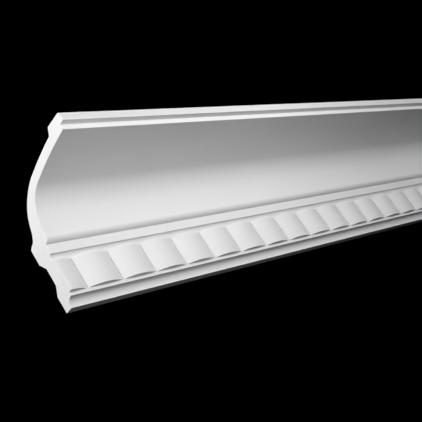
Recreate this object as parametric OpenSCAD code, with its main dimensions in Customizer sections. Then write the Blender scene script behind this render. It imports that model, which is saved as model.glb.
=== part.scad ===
// Cornice moulding length: one moulded piece, set in the corner of a wall and a ceiling.
// The wall is the plane y = 0, the room lies towards -y, and the piece runs along x.
// The origin is at mid-length, on the wall, half way up the lower contact strip.

/* [Overall] */
// Length of the piece, cut square at both ends
length = 1000; // [400:10:2000]
// Height down the wall, from the ceiling to the bottom edge
height = 150; // [135:1:200]
// Projection across the ceiling, from the wall to the top lip
projection = 134; // [115:1:180]

/* [Head] */
// Height of the top lip's face
lip_h = 10.4; // [6:0.2:14]
// How far the lip's face leans back towards its top
lip_lean = 1; // [0:0.2:2]
// Bevel along the lip's top edge
lip_bevel = 1; // [0.2:0.2:2]
// Step back from the lip to the fillet below it
lip_step = 7; // [3:0.5:12]
// Height of the fillet under the lip
top_fillet_h = 6.2; // [3:0.2:10]
// Width of the face that meets the ceiling
ceiling_seat_w = 21; // [14:0.5:30]
// How far the back of the head leans towards the wall on its way down
seat_lean = 5; // [0:0.5:10]

/* [Cove] */
// Slope of the cove where it leaves the top fillet, in degrees
cove_start_a = 5; // [0:1:10]
// Slope at which the long top arc hands over to the tight middle arc, in degrees
cove_mid_a = 15.5; // [12:0.5:25]
// Slope at which the middle arc hands over to the lower arc, in degrees
cove_low_a = 67; // [50:1:75]
// Radius of the tight middle arc
cove_mid_r = 37; // [28:1:45]
// Thickness of the cove's wall along its upper part
cove_wall = 11.2; // [7:0.2:16]
// Thickness that the cove's wall grows to at its foot
foot_wall = 19.8; // [17:0.2:26]
// Slope of the cove from which its wall starts to thicken, in degrees
thicken_a = 30; // [20:1:45]
// Slope of the cove at which its back ends in the shoulder, in degrees
shoulder_a = 80; // [76:1:84]

/* [Fillet under the cove] */
// Radius of the rounded nose at the foot of the cove
nose_r = 6.2; // [3:0.2:9]
// Height of the flat fillet under the nose
low_fillet_h = 11.2; // [6:0.2:14]
// Distance of that fillet's face from the wall
low_fillet_d = 23.8; // [22.4:0.2:32]

/* [Tile row] */
// Distance from one tile to the next
tile_pitch = 50; // [30:1:80]
// Height of a tile
tile_h = 37.2; // [24:0.2:44]
// How far the middle of a tile stands off its ground
tile_rise = 5; // [2:0.25:7]
// Flat ground between two tiles
tile_gap = 1; // [0.4:0.2:4]
// Distance of the ground from the wall
ground_d = 18.8; // [18.4:0.2:20]
// Flat ground above the tiles
ground_above = 1.5; // [0.5:0.1:6]
// Height of the hollow strip between that ground and the fillet
strip_h = 5.5; // [4:0.5:8]
// How far the hollow strip sweeps out under the fillet
strip_out = 3.2; // [0.8:0.2:3.4]

/* [Foot] */
// Height of the flat fillet under the tiles
foot_fillet_h = 4.1; // [2:0.1:8]
// Radius of the cavetto under that fillet
cavetto_r = 8.2; // [4:0.2:8.4]
// Height of the bottom arris
arris_h = 1.1; // [0.3:0.1:3]
// Distance of the bottom arris from the wall
arris_d = 10; // [8:0.2:10.2]

/* [Wall side] */
// Height of the lower contact strip
low_contact_h = 20; // [16:1:26]
// Height of the upper contact strip
high_contact_h = 18.5; // [10:0.5:24]
// How far the upper contact strip reaches above the foot of the cove
high_contact_over = 3; // [0:0.5:4]
// Depth of the relief between the two strips
relief_depth = 6.5; // [3:0.5:9]
// Height of the relief's slanted lower edge
relief_low_splay = 10; // [3:0.5:12]
// Height of the relief's slanted upper edge
relief_high_splay = 9; // [3:0.5:12]
// Depth of the ledge over the upper contact strip
ledge_d = 9; // [6:0.5:10]
// Rise of the ledge over the upper contact strip
ledge_rise = 5; // [3:0.5:6]
// Bevel at the top of the upper contact strip
ledge_bevel = 2; // [0.5:0.5:2.5]

/* [Hidden] */

plaster_white = [0.93, 0.93, 0.92];

// Heights above the bottom edge, from the foot upwards.
foot_z = arris_h + cavetto_r;
tile_z = foot_z + foot_fillet_h;
tile_top_z = tile_z + tile_h;
strip_z = tile_top_z + ground_above;
low_fillet_z = strip_z + strip_h;
nose_z = low_fillet_z + low_fillet_h;
cove_z = nose_z + nose_r;
lip_z = height - lip_h;
cove_top_z = lip_z - top_fillet_h;

// The upper contact strip on the wall side.
high_contact_top = cove_z + high_contact_over;
high_contact_z = high_contact_top - high_contact_h;

// Distances from the wall.
cove_d = low_fillet_d + nose_r;
cove_top_d = projection - lip_step;
lip_top_d = projection - lip_lean;
seat_front_d = lip_top_d - lip_bevel;
seat_back_d = seat_front_d - ceiling_seat_w;
neck_d = seat_back_d - seat_lean;

// A tile's face is part of a cylinder that stands on end.
tile_w = tile_pitch - tile_gap;
tile_r = (pow(tile_w / 2, 2) + pow(tile_rise, 2)) / (2 * tile_rise);
tile_count = ceil(length / tile_pitch / 2);

// The hollow strip is one arc, upright where it leaves the ground.
strip_r = (pow(strip_out, 2) + pow(strip_h, 2)) / (2 * strip_out);
strip_a = asin(strip_h / strip_r);

// The cove is three arcs that run into one another. The middle arc's radius is given,
// and the other two follow from the width and height that the cove has to span.
cove_span = cove_top_d - cove_d - cove_mid_r * (sin(cove_low_a) - sin(cove_mid_a));
cove_drop = cove_top_z - cove_z - cove_mid_r * (cos(cove_mid_a) - cos(cove_low_a));
span_top = sin(cove_mid_a) - sin(cove_start_a);
span_low = 1 - sin(cove_low_a);
drop_top = cos(cove_start_a) - cos(cove_mid_a);
drop_low = cos(cove_low_a);
cove_det = span_top * drop_low - span_low * drop_top;
cove_top_r = (cove_span * drop_low - cove_drop * span_low) / cove_det;
cove_low_r = (cove_drop * span_top - cove_span * drop_top) / cove_det;

// Unit vector from an arc's centre to its point where the cove slopes by angle a.
function up_and_back(a) = [-sin(a), cos(a)];

top_c = [cove_top_d, cove_top_z] - cove_top_r * up_and_back(cove_start_a);
mid_c = top_c + (cove_top_r - cove_mid_r) * up_and_back(cove_mid_a);
low_c = mid_c + (cove_mid_r - cove_low_r) * up_and_back(cove_low_a);

// The wall of the cove keeps its thickness at first and then grows towards the foot.
function wall_at(a) =
    cove_wall + (foot_wall - cove_wall) * pow(max(0, a - thicken_a) / (90 - thicken_a), 1.5);

// Points along one arc of the cove, past its first point, or along the back behind that arc.
STEPS = 8;
function cove_run(c, r, from_a, to_a, behind = false) =
    [for (i = [1 : STEPS])
        let (a = from_a + (to_a - from_a) * i / STEPS)
        c + (r + (behind ? wall_at(a) : 0)) * up_and_back(a)];

// Points along a plain arc, both ends included.
function arc(c, r, from_a, to_a) =
    [for (i = [0 : STEPS])
        let (a = from_a + (to_a - from_a) * i / STEPS)
        c + r * [cos(a), sin(a)]];

cavetto = arc([arris_d + cavetto_r, arris_h], cavetto_r, 180, 90);
hollow_strip = arc([ground_d + strip_r, strip_z], strip_r, 180, 180 - strip_a);
nose = arc([low_fillet_d, cove_z], nose_r, 270, 360);

cove_face = concat(
    cove_run(low_c, cove_low_r, 90, cove_low_a),
    cove_run(mid_c, cove_mid_r, cove_low_a, cove_mid_a),
    cove_run(top_c, cove_top_r, cove_mid_a, cove_start_a));

// The back of the cove starts where the head's back comes down to it.
neck_r = cove_top_r + cove_wall;
neck_a = asin((top_c.x - neck_d) / neck_r);
cove_back = concat(
    [top_c + neck_r * up_and_back(neck_a)],
    cove_run(top_c, cove_top_r, neck_a, cove_mid_a, behind = true),
    cove_run(mid_c, cove_mid_r, cove_mid_a, cove_low_a, behind = true),
    cove_run(low_c, cove_low_r, cove_low_a, shoulder_a, behind = true));

// The section's outline, distance from the wall by height: up the face, then down the back.
foot_points = concat(
    [[0, 0], [arris_d, 0]],
    cavetto,
    [[ground_d, foot_z]],
    hollow_strip,
    [[low_fillet_d, low_fillet_z]]);
head_points = [
    [cove_top_d, lip_z],
    [projection, lip_z],
    [lip_top_d, height - lip_bevel],
    [seat_front_d, height],
    [seat_back_d, height]
];
wall_points = [
    [ledge_d, high_contact_top + ledge_rise],
    [ledge_bevel, high_contact_top + ledge_bevel],
    [0, high_contact_top],
    [0, high_contact_z],
    [relief_depth, high_contact_z - relief_high_splay],
    [relief_depth, low_contact_h + relief_low_splay],
    [0, low_contact_h]
];

module section() {
    polygon(concat(foot_points, nose, cove_face, head_points, cove_back, wall_points));
}

// One tile: the part of its cylinder in front of the ground, with a little behind to join it.
module tile() {
    join = 1;
    intersection() {
        translate([0, tile_r - ground_d - tile_rise, 0])
            cylinder(r = tile_r, h = tile_h, $fn = 180);
        translate([-tile_w / 2, -ground_d - tile_rise, 0])
            cube([tile_w, tile_rise + join, tile_h]);
    }
}

// The row is centred, and the square cuts at the ends go through it wherever they fall.
module tile_row() {
    intersection() {
        for (i = [-tile_count : tile_count])
            translate([i * tile_pitch, 0, tile_z])
                tile();
        translate([-length / 2, -projection, 0])
            cube([length, projection, height]);
    }
}

module cornice() {
    color(plaster_white)
        translate([0, 0, -low_contact_h / 2]) {
            rotate([90, 0, -90])
                linear_extrude(height = length, center = true)
                    section();
            tile_row();
        }
}

cornice();
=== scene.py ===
import math

import bmesh
import bpy
from mathutils import Matrix, Quaternion, Vector


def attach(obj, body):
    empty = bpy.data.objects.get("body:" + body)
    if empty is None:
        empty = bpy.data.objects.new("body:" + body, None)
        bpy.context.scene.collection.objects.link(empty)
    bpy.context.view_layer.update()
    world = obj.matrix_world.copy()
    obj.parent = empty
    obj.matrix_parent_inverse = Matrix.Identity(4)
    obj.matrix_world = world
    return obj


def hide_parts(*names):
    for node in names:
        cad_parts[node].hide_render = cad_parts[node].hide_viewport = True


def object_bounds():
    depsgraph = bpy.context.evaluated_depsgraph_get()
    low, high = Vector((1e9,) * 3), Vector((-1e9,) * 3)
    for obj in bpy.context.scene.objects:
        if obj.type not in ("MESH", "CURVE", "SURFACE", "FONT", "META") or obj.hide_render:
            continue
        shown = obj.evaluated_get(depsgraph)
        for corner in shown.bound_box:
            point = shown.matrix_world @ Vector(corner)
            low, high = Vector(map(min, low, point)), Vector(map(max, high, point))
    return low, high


# Looks of the cornice moulding length. Metres, +Z up. The wall is the plane y = 0, the room
# lies towards -y, and the piece runs along x.

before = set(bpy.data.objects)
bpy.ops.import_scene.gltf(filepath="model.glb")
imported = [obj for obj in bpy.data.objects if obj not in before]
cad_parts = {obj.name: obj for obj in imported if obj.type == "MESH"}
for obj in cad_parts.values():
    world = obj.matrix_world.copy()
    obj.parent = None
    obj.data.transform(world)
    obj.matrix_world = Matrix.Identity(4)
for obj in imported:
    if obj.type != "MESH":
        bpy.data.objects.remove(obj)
cad_low, cad_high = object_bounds()

MM = 0.001

# Overall sizes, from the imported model.
LENGTH = cad_high.x - cad_low.x
HEIGHT = cad_high.z - cad_low.z
PROJECTION = cad_high.y - cad_low.y
BOTTOM_Z = cad_low.z

# Head.
LIP_H = 10.4 * MM
LIP_LEAN = 1 * MM
LIP_BEVEL = 1 * MM
LIP_STEP = 7 * MM
TOP_FILLET_H = 6.2 * MM
CEILING_SEAT_W = 21 * MM
SEAT_LEAN = 5 * MM

# Cove: three tangent arcs, with slopes in degrees.
COVE_START_A = 5
COVE_MID_A = 15.5
COVE_LOW_A = 67
COVE_MID_R = 37 * MM
COVE_WALL = 11.2 * MM
FOOT_WALL = 19.8 * MM
THICKEN_A = 30
SHOULDER_A = 80
WALL_GROWTH = 1.5  # power by which the wall thickens from there on

# Fillet under the cove.
NOSE_R = 6.2 * MM
LOW_FILLET_H = 11.2 * MM
LOW_FILLET_D = 23.8 * MM

# Tile row.
TILE_PITCH = 50 * MM
TILE_H = 37.2 * MM
TILE_RISE = 5 * MM
TILE_GAP = 1 * MM
GROOVE_DEPTH = 1.2 * MM  # of the V between two tiles, too fine for the CAD model
GROUND_D = 18.8 * MM
GROUND_ABOVE = 1.5 * MM
STRIP_H = 5.5 * MM
STRIP_OUT = 3.2 * MM

# Foot.
FOOT_FILLET_H = 4.1 * MM
CAVETTO_R = 8.2 * MM
ARRIS_H = 1.1 * MM
ARRIS_D = 10 * MM

# Wall side.
LOW_CONTACT_H = 20 * MM
HIGH_CONTACT_H = 18.5 * MM
HIGH_CONTACT_OVER = 3 * MM
RELIEF_DEPTH = 6.5 * MM
RELIEF_LOW_SPLAY = 10 * MM
RELIEF_HIGH_SPLAY = 9 * MM
LEDGE_D = 9 * MM
LEDGE_RISE = 5 * MM
LEDGE_BEVEL = 2 * MM

# How far the mould and the primer round the edges.
CRISP_EDGE = 0.35 * MM
SOFT_EDGE = 0.7 * MM
BACK_EDGE = 1.5 * MM
TILE_EDGE = 0.4 * MM
CUT_BEVEL = 0.25 * MM
SHARP_TURN = 12  # degrees: only a turn of the outline over this is a corner to round
ROUNDING_STEP_A = 18  # degrees for each step of a rounding
LONGEST_SHARE = 0.45  # of the shorter side is the most that a rounding takes
SHARP_EDGE_A = 20  # degrees: an edge of the mesh over this is shaded sharp

# Straight steps in each round stretch. The cove's are for its low, middle and top arc, and the
# back's for the same arcs from the top down.
COVE_STEPS = (10, 16, 12)
COVE_BACK_STEPS = (8, 10, 4)
CAVETTO_STEPS = 12
HOLLOW_STRIP_STEPS = 8
NOSE_STEPS = 14
TILE_STEPS = 16
TILE_EDGE_STEPS = 5
WELD = 0.002 * MM  # points of the outline that meet where a tile runs out are one

# Material slots of the casting.
FACE, BACK, CUT = range(3)

# Wear and painted light. A noise keeps nearly all its values in NOISE_RANGE, and an occlusion its
# telling ones in
# OCCLUSION_RANGE. The reaches say how far from an inner corner the painted shade shows, and how far
# from an edge the wear and the painted highlight show.
NOISE_RANGE = (0.3, 0.7)
OCCLUSION_RANGE = (0.5, 0.95)
OCCLUSION_SAMPLES = 6
PAINTED_SHADE_REACH = 3 * MM
EDGE_WEAR_AND_HIGHLIGHT_REACH = 1.5 * MM
SCUFFED_REACH = 3 * MM

# Camera: the point it looks at, measured from the near end's bottom corner at the wall; where it
# stands from that point, in degrees and metres; its turn about its own axis; and its lens.
AIM_ALONG = 182.27 * MM
AIM_OUT = 84.34 * MM
AIM_UP = 39.22 * MM
VIEW_AZIMUTH = 307.04
VIEW_ELEVATION = -19.352
VIEW_DISTANCE = 1.0
VIEW_TURN = -33.60
LENS = 76.50  # millimetres, on a sensor this wide
SENSOR_W = 36

FLOOR_DROP = 1.4
FLOOR_HALF = 200

# Soft lights: name, place from the piece's middle, how far along x from the middle each is aimed,
# size, and watts. The room side is -y and the near end is -x.
STRIP = (1.4, 0.12)
BOX = (0.25, 0.25)
SOFT_LIGHTS = [
    ("high_strip", (0, -0.73, 0.14), 0, STRIP, 2.3),
    ("front_box", (-0.2, -0.43, 0.02), -0.2, BOX, 0.82),
    ("left_box", (-0.55, -0.28, -0.01), -0.4, BOX, 0.25),
    ("right_box", (0.6, -0.53, 0.04), 0.4, BOX, 0.62),
    ("near_end_box", (-1.3, -0.23, -0.06), -0.4, BOX, 4.7),
    ("near_end_top", (-0.8, 0.07, 0.24), -0.4, BOX, 0.64),
    ("under_box", (-0.4, -0.15, -0.8), -0.3, BOX, 0.2),
]

# The sun lights the back, the top and the far end, which the photograph doesn't show. Angles and
# width are in degrees.
SUN_AZIMUTH = 130
SUN_ELEVATION = 48
SUN_STRENGTH = 3.2
SUN_WIDTH = 20

# Heights above the bottom edge, and distances from the wall, that follow from these.
FOOT_Z = ARRIS_H + CAVETTO_R
TILE_Z = FOOT_Z + FOOT_FILLET_H
TILE_TOP_Z = TILE_Z + TILE_H
STRIP_Z = TILE_TOP_Z + GROUND_ABOVE
LOW_FILLET_Z = STRIP_Z + STRIP_H
NOSE_Z = LOW_FILLET_Z + LOW_FILLET_H
COVE_Z = NOSE_Z + NOSE_R
LIP_Z = HEIGHT - LIP_H
COVE_TOP_Z = LIP_Z - TOP_FILLET_H
HIGH_CONTACT_TOP = COVE_Z + HIGH_CONTACT_OVER
HIGH_CONTACT_Z = HIGH_CONTACT_TOP - HIGH_CONTACT_H
COVE_D = LOW_FILLET_D + NOSE_R
COVE_TOP_D = PROJECTION - LIP_STEP
LIP_TOP_D = PROJECTION - LIP_LEAN
SEAT_FRONT_D = LIP_TOP_D - LIP_BEVEL
SEAT_BACK_D = SEAT_FRONT_D - CEILING_SEAT_W
NECK_D = SEAT_BACK_D - SEAT_LEAN
TILE_W = TILE_PITCH - TILE_GAP
TILE_R = ((TILE_W / 2) ** 2 + TILE_RISE ** 2) / (2 * TILE_RISE)


def sin(a):
    """Sine of an angle in degrees."""
    return math.sin(math.radians(a))


def cos(a):
    """Cosine of an angle in degrees."""
    return math.cos(math.radians(a))


def up_and_back(a):
    """From an arc's centre to its point where the cove slopes by angle a."""
    return Vector((-sin(a), cos(a)))


def cove_radii():
    """Radii of the top and low arcs, which span what the middle arc leaves."""
    span = COVE_TOP_D - COVE_D - COVE_MID_R * (sin(COVE_LOW_A) - sin(COVE_MID_A))
    drop = COVE_TOP_Z - COVE_Z - COVE_MID_R * (cos(COVE_MID_A) - cos(COVE_LOW_A))
    span_top = sin(COVE_MID_A) - sin(COVE_START_A)
    span_low = 1 - sin(COVE_LOW_A)
    drop_top = cos(COVE_START_A) - cos(COVE_MID_A)
    drop_low = cos(COVE_LOW_A)
    det = span_top * drop_low - span_low * drop_top
    return (span * drop_low - drop * span_low) / det, (drop * span_top - span * drop_top) / det


def arc(centre, r, from_a, to_a, steps):
    """Points along a plain arc, both ends included."""
    centre = Vector(centre)
    turn = (to_a - from_a) / steps
    return [centre + r * Vector((cos(from_a + i * turn), sin(from_a + i * turn)))
            for i in range(steps + 1)]


def cove_run(centre, r, from_a, to_a, steps, behind=False):
    """Points along one arc of the cove, past its first point, or along the back behind it."""
    points = []
    for i in range(1, steps + 1):
        a = from_a + (to_a - from_a) * i / steps
        points.append(centre + (r + (wall_at(a) if behind else 0)) * up_and_back(a))
    return points


def wall_at(a):
    """The cove's wall keeps its thickness at first and then grows towards the foot."""
    share = max(0, a - THICKEN_A) / (90 - THICKEN_A)
    return COVE_WALL + (FOOT_WALL - COVE_WALL) * share ** WALL_GROWTH


def cove_face_and_back():
    """The cove's face from its foot up, and its back from the neck down to the shoulder."""
    top_r, low_r = cove_radii()
    top_c = Vector((COVE_TOP_D, COVE_TOP_Z)) - top_r * up_and_back(COVE_START_A)
    mid_c = top_c + (top_r - COVE_MID_R) * up_and_back(COVE_MID_A)
    low_c = mid_c + (COVE_MID_R - low_r) * up_and_back(COVE_LOW_A)
    low_steps, mid_steps, top_steps = COVE_STEPS
    face = (cove_run(low_c, low_r, 90, COVE_LOW_A, low_steps)
            + cove_run(mid_c, COVE_MID_R, COVE_LOW_A, COVE_MID_A, mid_steps)
            + cove_run(top_c, top_r, COVE_MID_A, COVE_START_A, top_steps))
    neck_r = top_r + COVE_WALL
    neck_a = math.degrees(math.asin((top_c.x - NECK_D) / neck_r))
    top_steps, mid_steps, low_steps = COVE_BACK_STEPS
    back = ([top_c + neck_r * up_and_back(neck_a)]
            + cove_run(top_c, top_r, neck_a, COVE_MID_A, top_steps, behind=True)
            + cove_run(mid_c, COVE_MID_R, COVE_MID_A, COVE_LOW_A, mid_steps, behind=True)
            + cove_run(low_c, low_r, COVE_LOW_A, SHOULDER_A, low_steps, behind=True))
    return face, back


def tile_points(rise):
    """The tile band where the tile stands this far off its ground: always as many points."""
    edge = min(TILE_EDGE, max(rise, 0) / 2)
    face_d = GROUND_D + rise
    low = arc((face_d - edge, TILE_Z + edge), edge, -90, 0, TILE_EDGE_STEPS)
    high = arc((face_d - edge, TILE_TOP_Z - edge), edge, 0, 90, TILE_EDGE_STEPS)
    return [Vector((GROUND_D, TILE_Z))] + low + high + [Vector((GROUND_D, TILE_TOP_Z))]


def corner(d, h, r=CRISP_EDGE):
    """A corner of the outline: distance from the wall, height, and the radius that rounds it."""
    return Vector((d, h)), r


def run(points, r=0):
    """A smooth stretch: only its two ends take a radius."""
    return [(points[0], r)] + [(p, 0) for p in points[1:-1]] + [(points[-1], r)]


def face_corners(rise):
    """The painted face, from the bottom edge at the wall up to the lip's top edge."""
    strip_r = (STRIP_OUT ** 2 + STRIP_H ** 2) / (2 * STRIP_OUT)
    strip_a = math.degrees(math.asin(STRIP_H / strip_r))
    cavetto = arc((ARRIS_D + CAVETTO_R, ARRIS_H), CAVETTO_R, 180, 90, CAVETTO_STEPS)
    strip = arc((GROUND_D + strip_r, STRIP_Z), strip_r, 180, 180 - strip_a, HOLLOW_STRIP_STEPS)
    nose = arc((LOW_FILLET_D, COVE_Z), NOSE_R, 270, 360, NOSE_STEPS)
    cove, _ = cove_face_and_back()
    return ([corner(0, 0), corner(ARRIS_D, 0)]
            + run(cavetto, CRISP_EDGE)
            + [corner(GROUND_D, FOOT_Z)]
            + run(tile_points(rise))
            + run(strip, CRISP_EDGE)
            + [corner(LOW_FILLET_D, LOW_FILLET_Z)]
            + run(nose + cove, CRISP_EDGE)
            + [corner(COVE_TOP_D, LIP_Z), corner(PROJECTION, LIP_Z, SOFT_EDGE),
               corner(LIP_TOP_D, HEIGHT - LIP_BEVEL, SOFT_EDGE),
               corner(SEAT_FRONT_D, HEIGHT, SOFT_EDGE)])


def back_corners():
    """The bare back, from the ceiling seat down to the lower contact strip."""
    _, back = cove_face_and_back()
    wall = [
        (LEDGE_D, HIGH_CONTACT_TOP + LEDGE_RISE),
        (LEDGE_BEVEL, HIGH_CONTACT_TOP + LEDGE_BEVEL),
        (0, HIGH_CONTACT_TOP),
        (0, HIGH_CONTACT_Z),
        (RELIEF_DEPTH, HIGH_CONTACT_Z - RELIEF_HIGH_SPLAY),
        (RELIEF_DEPTH, LOW_CONTACT_H + RELIEF_LOW_SPLAY),
        (0, LOW_CONTACT_H),
    ]
    return ([corner(SEAT_BACK_D, HEIGHT, BACK_EDGE)]
            + run(back, BACK_EDGE)
            + [corner(d, h, BACK_EDGE) for d, h in wall])


def rounded_corner(before, p, after, r):
    """The arc in place of corner p, no longer than its sides allow."""
    if r == 0:
        return [p]
    to_before, to_after = before - p, after - p
    turn = math.pi - to_before.angle(to_after)
    if math.degrees(turn) < SHARP_TURN:
        return [p]
    shorter = min(to_before.length, to_after.length)
    reach = min(r * math.tan(turn / 2), LONGEST_SHARE * shorter)
    radius = reach / math.tan(turn / 2)
    middle = (to_before.normalized() + to_after.normalized()).normalized()
    centre = p + middle * (radius / math.cos(turn / 2))
    start = p + to_before.normalized() * reach - centre
    side = 1 if to_before.cross(to_after) < 0 else -1
    steps = math.ceil(math.degrees(turn) / ROUNDING_STEP_A)
    return [centre + Matrix.Rotation(side * turn * k / steps, 2) @ start
            for k in range(steps + 1)]


def section(rise):
    """The closed outline where a tile stands this far off its ground, as (point, on the face)."""
    face = face_corners(rise)
    corners = face + back_corners()
    outline = []
    for i, (p, r) in enumerate(corners):
        before = corners[i - 1][0]
        after = corners[(i + 1) % len(corners)][0]
        outline += [(q, i < len(face)) for q in rounded_corner(before, p, after, r)]
    return outline


def rise_at(x):
    """How far the tile row stands off its ground at x: less than nothing in a groove."""
    off_centre = abs((x + TILE_PITCH / 2) % TILE_PITCH - TILE_PITCH / 2)
    into_gap = off_centre - TILE_W / 2
    if into_gap >= 0:
        return -GROOVE_DEPTH * into_gap / (TILE_GAP / 2)
    return math.sqrt(TILE_R ** 2 - off_centre ** 2) - (TILE_R - TILE_RISE)


def column_places():
    """Where the sections stand along x: even steps round each tile, and each groove's middle."""
    half_a = math.degrees(math.asin(TILE_W / 2 / TILE_R))
    tile = [TILE_R * sin(half_a * (2 * i / TILE_STEPS - 1)) for i in range(TILE_STEPS + 1)]
    tile.append(TILE_PITCH / 2)
    reach = math.ceil(LENGTH / TILE_PITCH / 2)
    ends = LENGTH / 2
    inside = [i * TILE_PITCH + u for i in range(-reach, reach + 1) for u in tile]
    inside = [x for x in inside if abs(x) < ends - CUT_BEVEL * 2]
    return [-ends, -ends + CUT_BEVEL] + inside + [ends - CUT_BEVEL, ends]


# Materials.

def new_material(name, colour, roughness, specular):
    """A material, its shader and its position socket. Links made later override the constants."""
    material = bpy.data.materials.new(name)
    material.use_nodes = True
    nodes = material.node_tree.nodes
    shader = nodes["Principled BSDF"]
    shader.inputs["Base Color"].default_value = (*colour, 1)
    shader.inputs["Roughness"].default_value = roughness
    shader.inputs["Specular IOR Level"].default_value = specular
    place = nodes.new("ShaderNodeTexCoord").outputs["Object"]
    return material, shader, place


def node(material, kind, **inputs):
    """A new node with these values on its sockets; a name's underscore stands for a space."""
    made = material.node_tree.nodes.new(kind)
    for name, value in inputs.items():
        made.inputs[name.replace("_", " ")].default_value = value
    return made


def link(material, source, target):
    material.node_tree.links.new(source, target)


def noise(material, place, scale, detail, stretch=(1, 1, 1)):
    """Noise with this many features a metre, stretched by these factors along x, y and z."""
    mapping = node(material, "ShaderNodeMapping", Scale=[1 / s for s in stretch])
    texture = node(material, "ShaderNodeTexNoise", Scale=scale, Detail=detail)
    link(material, place, mapping.inputs["Vector"])
    link(material, mapping.outputs["Vector"], texture.inputs["Vector"])
    return texture.outputs["Fac"]


def cells(material, place, scale):
    """Distance to the middle of the nearest of this many cells a metre, in cell widths."""
    texture = node(material, "ShaderNodeTexVoronoi", Scale=scale)
    link(material, place, texture.inputs["Vector"])
    return texture.outputs["Distance"]


def spread(material, factor, source, target=(0, 1)):
    """The factor carried over from its source range to the target range, and held at its ends."""
    made = node(material, "ShaderNodeMapRange", From_Min=source[0], From_Max=source[1],
                To_Min=target[0], To_Max=target[1])
    link(material, factor, made.inputs["Value"])
    return made.outputs["Result"]


def grey(level, warmth=0.0):
    """A near-neutral colour: warmth takes a little blue away."""
    return (level, level - warmth / 3, level - warmth)


def mix(material, factor, low, high):
    """A colour between low and high by the factor; each is a colour or a socket."""
    made = material.node_tree.nodes.new("ShaderNodeMix")
    made.data_type = "RGBA"
    link(material, factor, made.inputs["Factor"])
    for name, colour in (("A_Color", low), ("B_Color", high)):
        target = next(i for i in made.inputs if i.identifier == name)
        if isinstance(colour, tuple):
            target.default_value = (*colour, 1)
        else:
            link(material, colour, target)
    return next(o for o in made.outputs if o.identifier == "Result_Color")


def multiply(material, first, second):
    """The product of two factors."""
    made = material.node_tree.nodes.new("ShaderNodeMath")
    made.operation = "MULTIPLY"
    link(material, first, made.inputs[0])
    link(material, second, made.inputs[1])
    return made.outputs["Value"]


def bump(material, height, depth, strength, under=None):
    """A bump of this depth in metres, laid over another bump's normal."""
    made = node(material, "ShaderNodeBump", Strength=strength, Distance=depth)
    link(material, height, made.inputs["Height"])
    if under is not None:
        link(material, under, made.inputs["Normal"])
    return made.outputs["Normal"]


def nearness(material, reach, inside):
    """1 close to an outer edge, or with inside False to an inner corner, and 0 on open flats."""
    occlusion = node(material, "ShaderNodeAmbientOcclusion", Distance=reach)
    occlusion.inside = inside
    occlusion.samples = OCCLUSION_SAMPLES
    return spread(material, occlusion.outputs["AO"], OCCLUSION_RANGE, (1, 0))


def primed_white():
    """The face: white primer with painted shade in its inner corners, edges lighter from wear and a
    painted highlight, and orange peel, mould lines and pinholes.
    """
    material, shader, place = new_material("primed_white", grey(0.86), roughness=0.55,
                                           specular=0.35)
    clouds = spread(material, noise(material, place, 18, 4, (3, 1, 1)), NOISE_RANGE)
    specks = spread(material, noise(material, place, 420, 2), (0.62, 0.72))
    paint = mix(material, clouds, grey(0.845), grey(0.875))
    dusty = mix(material, multiply(material, specks, clouds), paint, grey(0.80, 0.01))
    # Painted shade: the primer is greyed towards its inner corners, where shade falls.
    painted_corner_shade = mix(material, nearness(material, PAINTED_SHADE_REACH, False), dusty, grey(0.80))
    # Convex edges painted lighter: partly primer worn on the arrises, partly a painted highlight
    # along them.
    edge_wear_and_highlight = nearness(material, EDGE_WEAR_AND_HIGHLIGHT_REACH, True)
    link(material, mix(material, edge_wear_and_highlight, painted_corner_shade, grey(0.97)), shader.inputs["Base Color"])
    sheen = spread(material, noise(material, place, 55, 4), NOISE_RANGE, (0.48, 0.62))
    link(material, sheen, shader.inputs["Roughness"])
    peel = bump(material, noise(material, place, 900, 2), 0.06 * MM, 0.5)
    lines = bump(material, noise(material, place, 260, 3, (30, 1, 1)), 0.08 * MM, 0.4, peel)
    pinholes = spread(material, cells(material, place, 90), (0.03, 0.06))
    link(material, bump(material, pinholes, 0.2 * MM, 0.6, lines), shader.inputs["Normal"])
    return material


def mould_skin():
    """The back: the foam's bare skin, with flow marks along x, broken bubbles and scuffed edges."""
    material, shader, place = new_material("mould_skin", grey(0.78, 0.03), roughness=0.7,
                                           specular=0.3)
    flow = spread(material, noise(material, place, 22, 6, (5, 1, 1)), NOISE_RANGE)
    blotches = spread(material, noise(material, place, 9, 4), (0.45, 0.65))
    skin = mix(material, flow, grey(0.74, 0.035), grey(0.81, 0.02))
    patchy = mix(material, multiply(material, blotches, flow), skin, grey(0.70, 0.05))
    worn = nearness(material, SCUFFED_REACH, True)
    scuffs = multiply(material, worn, noise(material, place, 160, 3))
    link(material, mix(material, scuffs, patchy, grey(0.88, 0.01)), shader.inputs["Base Color"])
    link(material, spread(material, flow, (0, 1), (0.6, 0.8)), shader.inputs["Roughness"])
    marks = bump(material, noise(material, place, 70, 5, (6, 1, 1)), 0.5 * MM, 0.5)
    grain = bump(material, noise(material, place, 500, 3), 0.15 * MM, 0.4, marks)
    bubbles = spread(material, cells(material, place, 110), (0.08, 0.16))
    link(material, bump(material, bubbles, 0.5 * MM, 0.7, grain), shader.inputs["Normal"])
    return material


def sawn_foam():
    """The cut ends: closed cells under half a millimetre across, with faint saw lines."""
    material, shader, place = new_material("sawn_foam", grey(0.87), roughness=0.8, specular=0.2)
    pores = spread(material, cells(material, place, 2200), (0.1, 0.6))
    clouds = spread(material, noise(material, place, 60, 4), NOISE_RANGE)
    core = mix(material, clouds, grey(0.86), grey(0.885))
    link(material, mix(material, pores, grey(0.83, 0.01), core), shader.inputs["Base Color"])
    link(material, spread(material, clouds, (0, 1), (0.74, 0.86)), shader.inputs["Roughness"])
    open_cells = bump(material, pores, 0.12 * MM, 0.35)
    saw = bump(material, noise(material, place, 400, 2, (1, 12, 1)), 0.1 * MM, 0.3, open_cells)
    link(material, saw, shader.inputs["Normal"])
    return material


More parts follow.
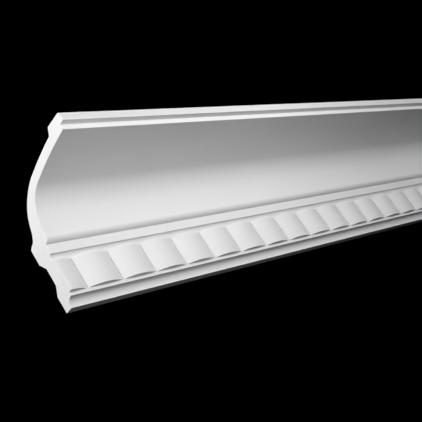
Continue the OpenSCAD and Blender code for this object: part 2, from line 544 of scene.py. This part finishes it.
# The casting.

def inset(points, amount):
    """The outline's points moved in by this much."""
    moved = []
    for i, p in enumerate(points):
        along = points[(i + 1) % len(points)] - points[i - 1]
        moved.append(p + amount * Vector((-along.y, along.x)).normalized())
    return moved


def add_columns(mesh):
    """The section's points at each place along x, drawn in a little at the two cuts."""
    places = column_places()
    columns = []
    for x in places:
        points = [p for p, _ in section(rise_at(x))]
        if x in (places[0], places[-1]):
            points = inset(points, CUT_BEVEL)
        columns.append([mesh.verts.new((x, -p.x, BOTTOM_Z + p.y)) for p in points])
    return columns


def join_columns(mesh, columns):
    """A strip of quads between neighbouring columns, and a cut face at each end."""
    on_face = [face for _, face in section(0)]
    count = len(on_face)
    for left, right in zip(columns, columns[1:]):
        for i in range(count):
            j = (i + 1) % count
            quad = mesh.faces.new((left[i], right[i], right[j], left[j]))
            quad.material_index = FACE if on_face[i] and on_face[j] else BACK
    for cut in (columns[0], columns[-1]):
        mesh.faces.new(cut).material_index = CUT


def build_casting():
    """One closed mesh, smooth but for its cuts and its sharp edges."""
    mesh = bmesh.new()
    join_columns(mesh, add_columns(mesh))
    bmesh.ops.remove_doubles(mesh, verts=mesh.verts, dist=WELD)
    bmesh.ops.recalc_face_normals(mesh, faces=mesh.faces)
    for face in mesh.faces:
        face.smooth = face.material_index != CUT
    for edge in mesh.edges:
        edge.smooth = edge.calc_face_angle(0) < math.radians(SHARP_EDGE_A)
    return mesh


def make_object(name, mesh, materials):
    """An object of this mesh and these materials, in the scene."""
    data = bpy.data.meshes.new(name)
    mesh.to_mesh(data)
    mesh.free()
    for material in materials:
        data.materials.append(material)
    made = bpy.data.objects.new(name, data)
    bpy.context.scene.collection.objects.link(made)
    return made


def cornice_casting():
    """The piece itself, in place of the CAD node."""
    casting = make_object("cornice_casting", build_casting(),
                          [primed_white(), mould_skin(), sawn_foam()])
    flats = casting.modifiers.new("flats", "WEIGHTED_NORMAL")
    flats.keep_sharp = True
    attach(casting, "root")
    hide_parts("cornice")


# Camera, floor and light.

def outward(azimuth, elevation):
    """Unit vector away from the piece; azimuth 0 is in front of it and 90 at its +x end."""
    return Vector((sin(azimuth) * cos(elevation), -cos(azimuth) * cos(elevation), sin(elevation)))


def aim(thing, target, turn=0):
    """Points a camera or light at a target, turned about its own axis by an angle."""
    look = (target - thing.location).to_track_quat("-Z", "Y")
    thing.rotation_mode = "QUATERNION"
    thing.rotation_quaternion = look @ Quaternion((0, 0, 1), math.radians(turn))


def add_camera():
    """Close under the near end, looking up along the piece, with its right side dipped."""
    data = bpy.data.cameras.new("camera")
    data.sensor_width = SENSOR_W
    data.lens = LENS
    camera = bpy.data.objects.new("camera", data)
    bpy.context.scene.collection.objects.link(camera)
    target = Vector((cad_low.x + AIM_ALONG, cad_high.y - AIM_OUT, cad_low.z + AIM_UP))
    camera.location = target + outward(VIEW_AZIMUTH, VIEW_ELEVATION) * VIEW_DISTANCE
    aim(camera, target, turn=VIEW_TURN)
    bpy.context.scene.camera = camera


def add_floor():
    """A plain pale floor, well below the piece. The photograph's underside is dark, so the floor
    throws no light up at it."""
    mesh = bmesh.new()
    bmesh.ops.create_grid(mesh, x_segments=1, y_segments=1, size=FLOOR_HALF)
    material, shader, place = new_material("pale_floor", grey(0.62), roughness=0.9,
                                           specular=0.2)
    clouds = spread(material, noise(material, place, 1.5, 4), NOISE_RANGE)
    link(material, mix(material, clouds, grey(0.61), grey(0.63)), shader.inputs["Base Color"])
    floor = make_object("floor", mesh, [material])
    floor.location.z = cad_low.z - FLOOR_DROP
    floor.visible_diffuse = False
    floor.visible_glossy = False


def area_light(name, place, target, width, height, power):
    """A soft light at a place, which looks at a target and doesn't show itself."""
    data = bpy.data.lights.new(name, "AREA")
    data.shape = "RECTANGLE"
    data.size = width
    data.size_y = height
    data.energy = power
    light = bpy.data.objects.new(name, data)
    light.visible_camera = False
    bpy.context.scene.collection.objects.link(light)
    light.location = place
    aim(light, target)


def sun_light(name, direction, strength, width):
    """An even light from far away in this direction, as soft as its width in degrees."""
    data = bpy.data.lights.new(name, "SUN")
    data.energy = strength
    data.angle = math.radians(width)
    light = bpy.data.objects.new(name, data)
    bpy.context.scene.collection.objects.link(light)
    light.location = direction
    aim(light, Vector((0, 0, 0)))


def add_lights():
    """Soft lights in front, at the near end and below, and a sun behind, before a black world."""
    world = bpy.data.worlds.new("studio")
    world.use_nodes = True
    world.node_tree.nodes["Background"].inputs["Color"].default_value = (0, 0, 0, 1)
    bpy.context.scene.world = world
    bpy.context.scene.view_settings.view_transform = "Standard"
    middle = (cad_low + cad_high) / 2
    for name, off, aside, (width, height), power in SOFT_LIGHTS:
        area_light(name, middle + Vector(off), middle + Vector((aside, 0, 0)), width, height, power)
    sun_light("behind_and_above", outward(SUN_AZIMUTH, SUN_ELEVATION), SUN_STRENGTH, SUN_WIDTH)


cornice_casting()
add_camera()
add_floor()
add_lights()
